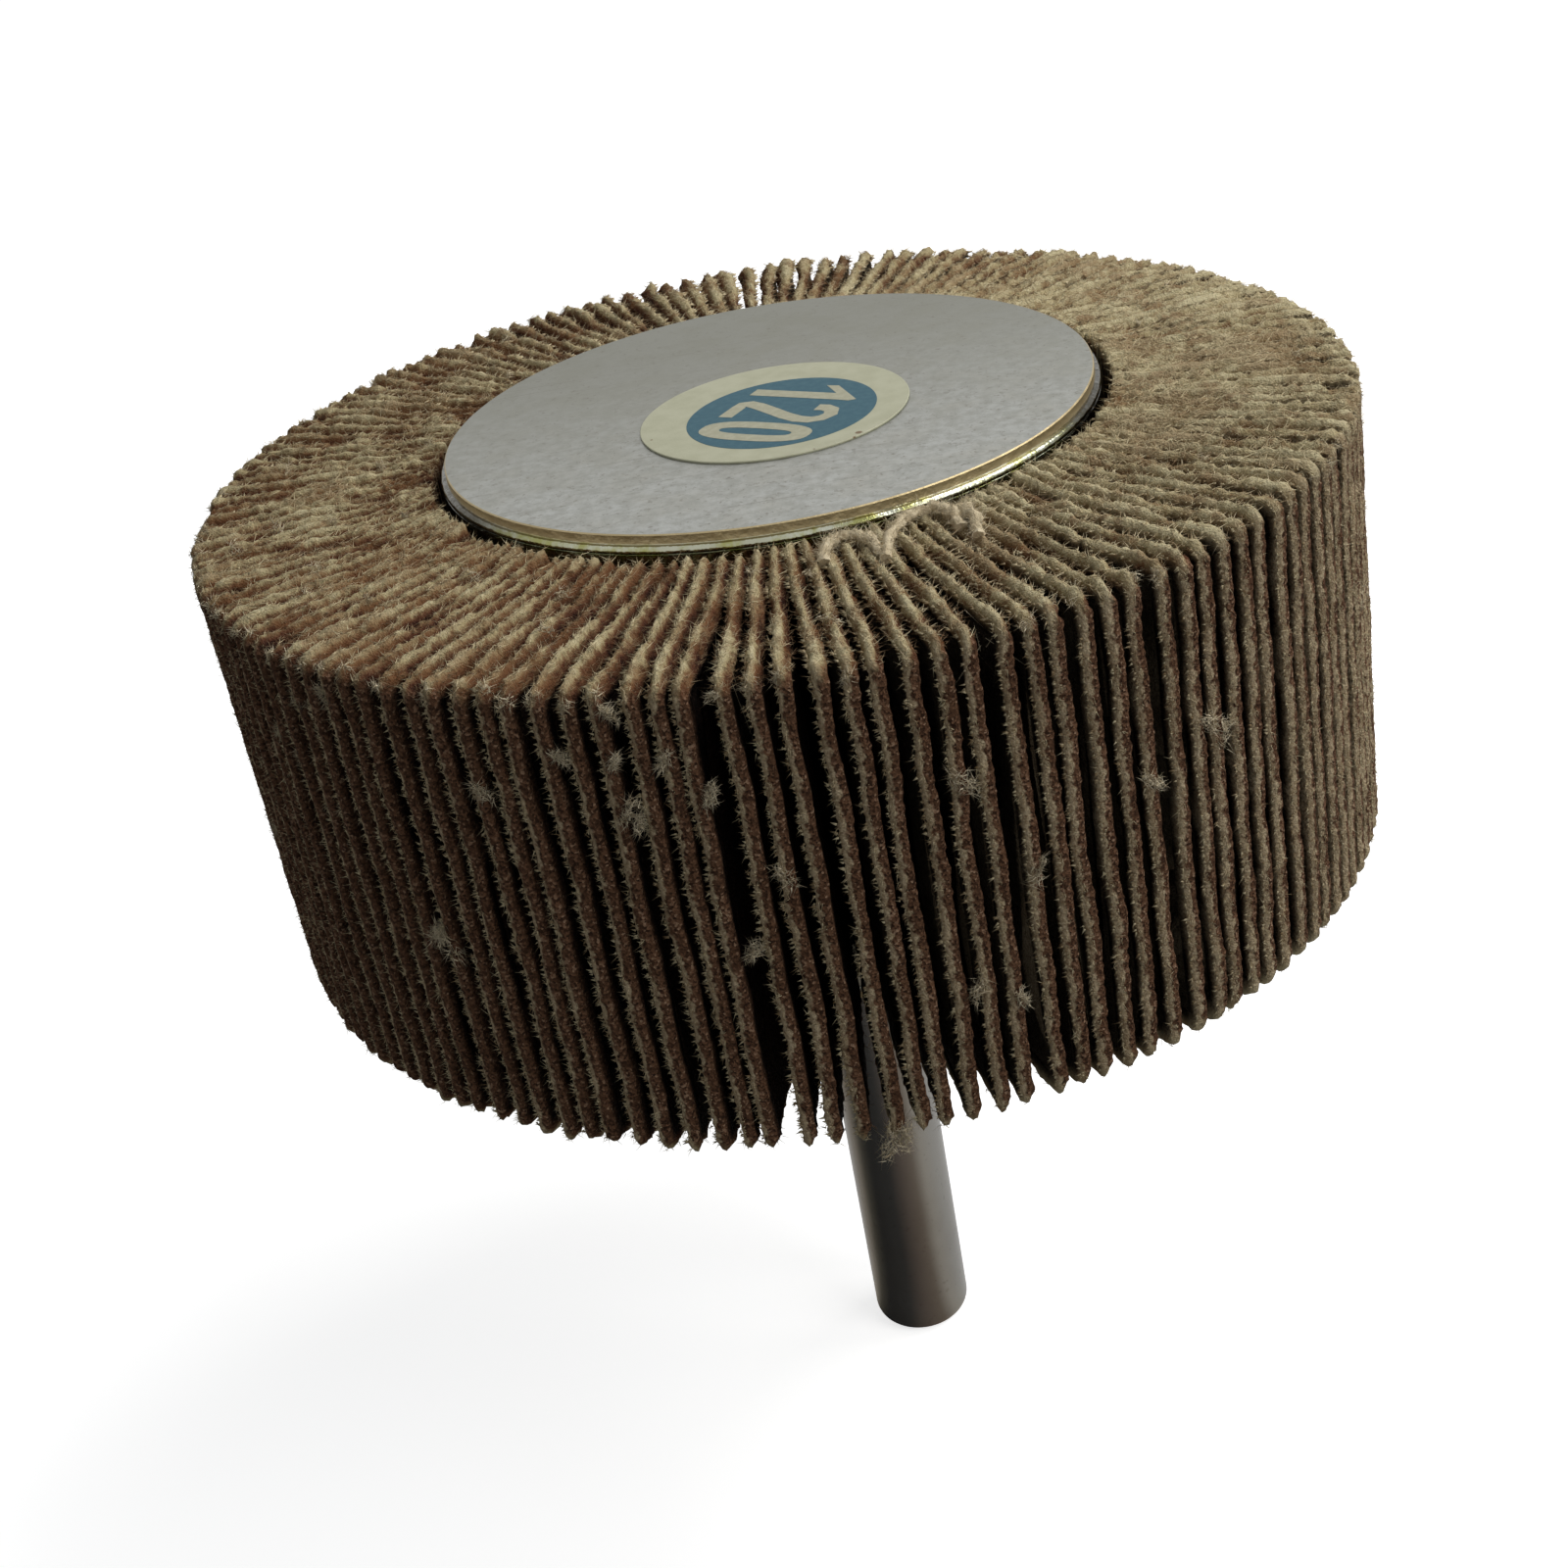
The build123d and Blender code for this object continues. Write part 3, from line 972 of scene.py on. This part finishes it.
def rim_spot(angle, height, size, lean=0.0, radius=wheel_radius - 0.15):
    """A tuft's place on the rim, in degrees and millimetres. Lean 1 lays it up and -1 down the rim."""
    turn = radians(angle)
    out = Vector((cos(turn), sin(turn), 0))
    aside = Vector((-sin(turn), cos(turn), 0))
    up = Vector((0, 0, 1))
    worn = worn_depth * max(cos(turn - worn_direction), 0.0) ** 3 * (radius / wheel_radius) ** 5
    if height > flap_top - corner_round:
        height -= worn
    place = out * (radius - worn) * mm + up * height * mm
    return place, (out * 0.12 - aside * 0.4 + up * 1.4 * lean).normalized(), size


draw = random.Random(11)
rim_tufts = [
    rim_spot(angle, height, size, lean) for angle, height, size, lean in (
        (280.3, 18.9, 1.55, 0.3), (285.4, 13.5, 1.22, -0.6), (304.1, 17.0, 1.69, 0.2), (305.2,
        16.2, 1.22, -0.7),
        (232.1, 11.8, 1.69, 0.5), (231.2, 12.4, 1.08, -0.4), (240.5, 20.6, 1.08, 0.3), (253.3,
        19.9, 1.22, -0.5),
        (254.2, 19.4, 1.08, -0.8), (253.5, 24.6, 0.94, 0.4), (253.1, 22.3, 0.81, -0.5), (248.7,
        22.5, 0.94, 0.3),
        (257.2, 22.3, 0.94, -0.4), (260.2, 20.4, 1.08, -0.8), (264.8, 16.1, 1.22, 0.5), (261.3,
        12.5, 1.08, -0.4),
        (279.1, 8.4, 1.22, -0.3), (282.7, 7.2, 0.94, 0.6), (269.7, 1.2, 1.62, -0.6), (270.8, 1.1,
        1.35, -0.8),
        (297.2, 15.6, 1.22, 0.3),
    )
]
rim_tufts += [
    rim_spot(draw.uniform(-45, 225), draw.uniform(2, 24), draw.uniform(0.6, 1.1), draw.uniform(-0.9, 0.9),
             wheel_radius - 0.4)
    for _ in range(26)
]
# Most flaps have a small puff on the corner between the labelled end and the rim
corner_tufts = []
for corner in range(flap_count):
    if draw.random() < 0.62:
        rise = radians(draw.uniform(15, 80))
        corner_tufts.append(
            rim_spot(
                360 * corner / flap_count - draw.uniform(0.0, 0.6),
                flap_top + corner_round * (0.8 * sin(rise) - 1), draw.uniform(0.6, 1.1),
                draw.uniform(-0.9, 0.1), wheel_radius + corner_round * (0.8 * cos(rise) - 1)))
end_tufts = [
    rim_spot(draw.uniform(0, 360), flap_top + 0.15, draw.uniform(0.4, 0.9), 0.15, draw.uniform(19, 29))
    for _ in range(24)
]
end_tufts.append(rim_spot(272.3, flap_top + 0.2, 1.0, 0.2, 26.9))
stray_hairs = [
    rim_spot(angle, height, size, lean, radius)
    for angle, height, size, lean, radius in (
        (281.5, 25.6, 1.0, 0.5, 29.5), (283.2, 25.8, 0.8, 0.3, 28.6), (285.8, 25.4, 1.0, 0.4, 30.0),
        (284.1, 24.8, 0.9, -0.6, 30.0), (262.4, 17.5, 0.9, -0.4, 30.0), (263.1, 25.2, 0.8, 0.2, 30.2),
        (246.0, 25.7, 0.8, 0.3, 27.0), (301.0, 25.8, 0.9, 0.3, 25.5), (229.0, 15.0, 0.8, 0.6, 30.0),
    )
]
for name, spots, settings in (
    ("Rim_tufts", rim_tufts, {"Seed": 1, "Strands": 10, "Hairs": 130}),
    ("Corner_tufts", corner_tufts, {"Seed": 2, "Strands": 5, "Hairs": 55, "Foot Reach": 0.35 * mm}),
    ("End_tufts", end_tufts, {"Seed": 3, "Strands": 10, "Hairs": 20, "Strand Width": 0.04 * mm}),
    ("Stray_hairs", stray_hairs, {
        "Seed": 4, "Strands": 0, "Hairs": 4, "Hair Length": 2.6 * mm, "Hair Width": 0.010 * mm,
        "Hair Spread": 0.6}),
):
    tufts = grow(name, spots_mesh(name, spots), tuft_tree, {"Finish": cotton_finish, **settings})
    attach(tufts, "root")

yarn_tree, given, result = add_geometry_tree("Loose yarn", [
    ("Yarn Radius", "NodeSocketFloat", 0.27 * mm),
    ("Fuzz Depth", "NodeSocketFloat", 0.80 * mm),
    ("Hair Length", "NodeSocketFloat", 0.60 * mm),
    ("Hair Width", "NodeSocketFloat", 0.015 * mm),
    ("Seed", "NodeSocketInt", 5),
    ("Finish", "NodeSocketMaterial", None),
])
tree = yarn_tree
path = output_of(tree, "GeometryNodeMeshToCurve", {0: given["Geometry"]})
path = output_of(tree, "GeometryNodeCurveSplineType", {"Curve": path}, spline_type="CATMULL_ROM")
path = output_of(tree, "GeometryNodeSetSplineResolution", {0: path, "Resolution": 12})
profile = output_of(tree, "GeometryNodeCurvePrimitiveCircle", {
    "Resolution": 8, "Radius": given["Yarn Radius"]})
yarn = output_of(tree, "GeometryNodeCurveToMesh", {
    "Curve": path, "Profile Curve": profile, "Fill Caps": True})
position = output_of(tree, "GeometryNodeInputPosition")
normal = output_of(tree, "GeometryNodeInputNormal")
fuzz = (noise(position, 2300.0, 2.0) - 0.5) * given["Fuzz Depth"]
yarn = output_of(tree, "GeometryNodeSetPosition", {"Geometry": yarn, "Offset": scaled(normal, fuzz)})
yarn = stored(yarn, "tone", 0.3)
aimed_yarn = stored(yarn, "aim", normal, "FLOAT_VECTOR")
yarn_feet = output_of(tree, "GeometryNodeMeshToPoints", {
    "Mesh": aimed_yarn, "Selection": reckon("LESS_THAN", chance(tree, 0.0, 1.0, 1), 0.9)})
yarn_curl = bent(cone_hair(given["Hair Width"], given["Hair Length"], 2), given["Hair Length"], 0.7)
yarn_hairs = grow_hairs(
    yarn_feet, yarn_curl, vector_sum(named(tree, "aim", "FLOAT_VECTOR"), scatter(tree, 1.0, 2)),
    chance(tree, 0.3, 1.0, 5), 6)
fuzzy_yarn = with_finish(join(yarn, yarn_hairs), given["Finish"])
feed(result["Geometry"], output_of(tree, "GeometryNodeSetShadeSmooth", {"Geometry": fuzzy_yarn}))

loose_yarns = (
    (
        (4.05, -21.2, 25.8), (4.35, -19.8, 26.1), (5.0, -18.5, 26.25), (5.8, -17.75, 26.3),
        (6.9, -17.5, 26.3), (7.5, -18.2, 26.15), (7.7, -19.4, 25.9)
    ),
    (
        (1.3, -20.6, 25.8), (1.5, -19.4, 26.1), (2.1, -18.8, 26.2), (3.0, -18.9, 26.2),
        (3.6, -19.6, 26.1), (3.9, -20.9, 25.8)
    ),
    ((8.0, -17.4, 26.0), (8.25, -18.3, 26.2), (8.4, -19.4, 26.15), (8.3, -20.6, 25.85))
)
yarn_points, yarn_edges = [], []
for course in loose_yarns:
    start = len(yarn_points)
    yarn_points += [Vector(point) * mm for point in course]
    yarn_edges += [(start + step, start + step + 1) for step in range(len(course) - 1)]
yarn_path = bpy.data.meshes.new("Yarn_path")
yarn_path.from_pydata(yarn_points, yarn_edges, [])
loose_yarn = grow("Loose_yarn", yarn_path, yarn_tree, {"Finish": cotton_finish})
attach(loose_yarn, "root")

# Caps
# Two shallow cups pressed from bright steel sheet, their edges rolled over. Each is pushed down into
# the flaps' notches and its wall keeps the flaps' roots from flying out.

cap_radius = 17.557
cap_inner = 16.857
cap_sheet = 0.7
face_radius = 17.27
face_step = 0.46
bead_radius = 0.24
cap_depth = 3.55
front_face = 26.8

cap_finish, tree, surface, place = new_finish("Satin_plate", {"Metallic": 1.0})
marks = steel_marks(place, 420.0, 3600.0)
plate = mix_colours(marks["Smudge"], (0.355, 0.362, 0.345, 1), (0.315, 0.314, 0.288, 1))
mottle = spread(noise(place, 1500.0, 4.0, 0.7), 0.3, 0.7)
plate = mix_colours(mottle, plate, (0.26, 0.263, 0.24, 1))
dust = spread(noise(place, 2300.0, 3.0, 0.6), 0.6, 0.7, 0.0, 0.5)
plate = mix_colours(dust, plate, (0.155, 0.145, 0.12, 1))
# Painted shade: the face is darker towards its far side
across_face = parts_of(place)[1]
painted_far_shade = spread(across_face, -0.016, 0.014, 0.0, 0.95)
plate = mix_colours(painted_far_shade, plate, (0.195, 0.195, 0.165, 1))
plate = mix_colours(marks["Speck"] * 0.6, plate, (0.13, 0.115, 0.095, 1))
plate = mix_colours(marks["Scratch"] * 0.3, plate, (0.16, 0.15, 0.13, 1))
feed(surface.inputs["Base Color"], plate)
feed(surface.inputs["Roughness"], spread(marks["Smudge"], 0.0, 1.0, 0.5, 0.6))
fine_grain = noise(place, 9000.0, 2.0, 0.7)
add_bump(surface, fine_grain - marks["Scratch"], 0.006)

rim_finish, tree, surface, place = new_finish("Bright_plate", {"Metallic": 1.0})
marks = steel_marks(place)
bright = mix_colours(marks["Smudge"], (0.5, 0.52, 0.45, 1), (0.34, 0.34, 0.26, 1))
tarnish = spread(noise(place, 700.0, 4.0, 0.65), 0.42, 0.62)
bright = mix_colours(tarnish, bright, (0.26, 0.26, 0.1, 1))
# Painted reflection: the bright plate keeps its bright colour only on the near side of the wheel, in front,
# and turns nearly black elsewhere
painted_reflection_way = parts_of(place)[1]
bright = mix_colours(spread(painted_reflection_way, -0.014, -0.008), bright, (0.045, 0.04, 0.025, 1))
# The step at each cap's edge is rougher, and tan: a painted reflection of the flaps. It is found by its
# distance from the wheel's middle, in metres.
middle_height = 0.0134
step_start, step_end = 0.01288, 0.01294
on_step = spread(abs(parts_of(place)[2] - middle_height), step_start, step_end)
painted_flap_reflection = mix_colours(noise(place, 800.0, 2.0), (0.4, 0.33, 0.19, 1), (0.28, 0.22, 0.12, 1))
feed(surface.inputs["Base Color"], mix_colours(on_step, bright, painted_flap_reflection))
feed(surface.inputs["Roughness"], reckon("MULTIPLY_ADD", on_step, 0.35, 0.13))
add_bump(surface, noise(place, 700.0, 4.0, 0.65), 0.14)

# The outer side of a cup from its lip to its face: a wall, a rolled bead, a step and the face's edge
bead_height = face_step + 0.06 + bead_radius
cup_side = [(cap_radius, cap_depth), (cap_radius, cap_depth * 0.6), (cap_radius, bead_height + bead_radius)]
bead_points = rounded(cap_radius - bead_radius + 0.04, 0, bead_radius, -60, 90, 8)
cup_side += [(radius, bead_height - lift) for radius, lift in bead_points]
cup_side += [
    (face_radius + 0.02, face_step + 0.05), (face_radius, face_step), (face_radius, 0.06),
    (face_radius - 0.06, 0)
]
face_rings = [(radius, 0) for radius in (16, 13, 10, 7, 4, 2, 0)]
inside = [(0, cap_sheet), (8, cap_sheet), (cap_inner, cap_sheet), (cap_inner, cap_depth)]
front_outline = [(radius, front_face - depth) for radius, depth in inside + cup_side + face_rings]
front_slots = [1] * (len(inside) + len(cup_side) - 1) + [0] * len(face_rings)
front_cap = turned_piece("Front_cap", front_outline, [cap_finish, rim_finish], front_slots, 192)
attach(front_cap, "root")
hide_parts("front_cap")

bore_radius = buried_radius + 0.05
rear_face = [(bore_radius, 0)] + face_rings[3::-1]
rear_inside = [(cap_inner, cap_depth), (cap_inner, cap_sheet), (8, cap_sheet), (bore_radius, cap_sheet)]
rear_outline = rear_face + cup_side[::-1] + rear_inside
rear_slots = [0] * len(rear_face) + [1] * (len(rear_outline) - len(rear_face))
rear_cap = turned_piece(
    "Rear_cap", rear_outline, [cap_finish, rim_finish], rear_slots, 192, open_middle=True)
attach(rear_cap, "root")
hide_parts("rear_cap")

# Grit label
# A round cream paper sticker, put on by hand a little off the middle, with a blue disc printed on it
# and the grit number in cream on the disc.

label_x = 0.3
label_y = -2.0
label_radius = 7.1
label_thickness = 0.12

label_finish, tree, surface, place = new_finish("Label_paper", {
    "Specular IOR Level": 0.15, "Roughness": 0.55})
paper_cloud = noise(place, 900.0, 4.0)
paper = mix_colours(spread(paper_cloud, 0.3, 0.7), (0.42, 0.42, 0.3, 1), (0.475, 0.475, 0.35, 1))
label_top = 0.02692
for across, up, spot_size in ((4.25, -7.55, 0.24), (4.0, -8.1, 0.13), (-6.2, -3.4, 0.09), (1.9,
    -8.8, 0.08)):
    to_spot = output_of(tree, "ShaderNodeVectorMath", {
        0: place, 1: (across * mm, up * mm, label_top)}, output="Value", operation="DISTANCE")
    stain = spread(to_spot, spot_size * 0.5 * mm, spot_size * mm, 0.85, 0.0)
    paper = mix_colours(stain, paper, (0.12, 0.055, 0.02, 1))
feed(surface.inputs["Base Color"], paper)
add_bump(surface, noise(place, 6000.0, 2.0), 0.008)
label_outline = [(0, front_face), (label_radius - 0.03, front_face)]
label_outline += [(label_radius, front_face + 0.04), (label_radius, front_face + label_thickness - 0.03)]
label_outline += [(label_radius - 0.03, front_face + label_thickness), (5, front_face + label_thickness)]
label_outline += [(0, front_face + label_thickness)]
label = turned_piece("Grit_label", label_outline, [label_finish], steps=128)
label.data.transform(Matrix.Translation((label_x * mm, label_y * mm, 0)))
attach(label, "root")
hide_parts("grit_label")

# The print: a blue disc and cream figures, each a thin layer of ink on the paper
print_turn = radians(-34)
print_x = 0.65
print_y = -2.6
ink_radius = 5.0
ink_layer = 0.012


def ink_finish(name, light, dark):
    """Printed ink, a little uneven where the paper shows through."""
    finish, tree, surface, place = new_finish(name, {"Specular IOR Level": 0.12, "Roughness": 0.6})
    cover = spread(noise(place, 2600.0, 3.0), 0.35, 0.75)
    feed(surface.inputs["Base Color"], mix_colours(cover, dark, light))
    add_bump(surface, noise(place, 6000.0, 2.0), 0.006)
    return finish


blue_ink = ink_finish("Blue_ink", (0.062, 0.136, 0.170, 1), (0.046, 0.112, 0.148, 1))
cream_ink = ink_finish("Cream_ink", (0.46, 0.45, 0.34, 1), (0.39, 0.38, 0.28, 1))
paper_top = front_face + label_thickness
ink_top = paper_top + ink_layer
ink_outline = [(0, paper_top), (ink_radius, paper_top), (ink_radius, ink_top), (2.5, ink_top), (0, ink_top)]
blue_disc = turned_piece("Blue_disc", ink_outline, [blue_ink], steps=128)
blue_disc.data.transform(Matrix.Translation((print_x * mm, print_y * mm, 0)))
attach(blue_disc, "root")


def thick_line(centre_line, width):
    """The two sides of a line drawn with a broad nib, as two rows of points."""
    left, right = [], []
    for place, point in enumerate(centre_line):
        before = Vector(centre_line[max(place - 1, 0)])
        after = Vector(centre_line[min(place + 1, len(centre_line) - 1)])
        forward = (after - Vector(point)).normalized() + (Vector(point) - before).normalized()
        side = Vector((-forward.y, forward.x)).normalized() * width / 2
        left.append(Vector(point) + side)
        right.append(Vector(point) - side)
    return left, right


def narrow_ring(centre, half_width, half_height, squareness=2.6, steps=40):
    """A tall ring of points, a little squarer than an ellipse."""
    ring = []
    for step in range(steps):
        turn = tau * step / steps
        wide = abs(cos(turn)) ** (2 / squareness) * (1 if cos(turn) > 0 else -1)
        high = abs(sin(turn)) ** (2 / squareness) * (1 if sin(turn) > 0 else -1)
        ring.append((centre + half_width * wide, half_height * high))
    return ring


# Each figure lies between two rows of points, across and up from the middle of the print
figure_one = (
    [(-2.90, -3.20), (-2.88, 1.70), (-3.90, 0.55), (-3.95, 1.25)],
    [(-2.05, -3.20), (-2.00, 2.30), (-1.95, 2.90), (-2.20, 3.25)])
figure_two = thick_line(
    [
        (-0.85, 1.65), (-0.88, 2.15), (-0.62, 2.68), (-0.05, 2.92), (0.52, 2.7), (0.84, 2.15),
        (0.8, 1.4), (0.45, 0.45), (-0.1, -0.65), (-0.62, -1.75), (-0.85, -2.45), (-0.7, -2.82),
        (-0.3, -2.82), (1.1, -2.82)
    ],
    0.8)
figure_nought = narrow_ring(2.72, 1.24, 3.25), narrow_ring(2.72, 0.42, 2.15)
points, faces = [], []
print_place = Matrix.Translation((print_x, print_y, 0)) @ Matrix.Rotation(print_turn - pi / 2, 4, "Z")
for (left, right), closed in ((figure_one, False), (figure_two, False), (figure_nought, True)):
    count = len(left)
    start = len(points)
    for height in (ink_top, ink_top + ink_layer):
        for row in (left, right):
            points += [print_place @ Vector((spot[0], spot[1], height)) * mm for spot in row]
    low_left, low_right, top_left, top_right = (
        range(start + row * count, start + (row + 1) * count) for row in range(4))
    sides = (top_left, top_right), (low_right, low_left), (low_left, top_left), (top_right, low_right)
    for step in range(count if closed else count - 1):
        following = (step + 1) % count
        for low, high in sides:
            faces.append((low[step], high[step], high[following], low[following]))
    if not closed:
        faces.append((low_left[0], low_right[0], top_right[0], top_left[0]))
        faces.append((top_left[-1], top_right[-1], low_right[-1], low_left[-1]))
figures_mesh = bpy.data.meshes.new("Grit_figures")
figures_mesh.from_pydata(points, [], faces)
figures_mesh.materials.append(cream_ink)
figures = bpy.data.objects.new("Grit_figures", figures_mesh)
bpy.context.scene.collection.objects.link(figures)
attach(figures, "root")
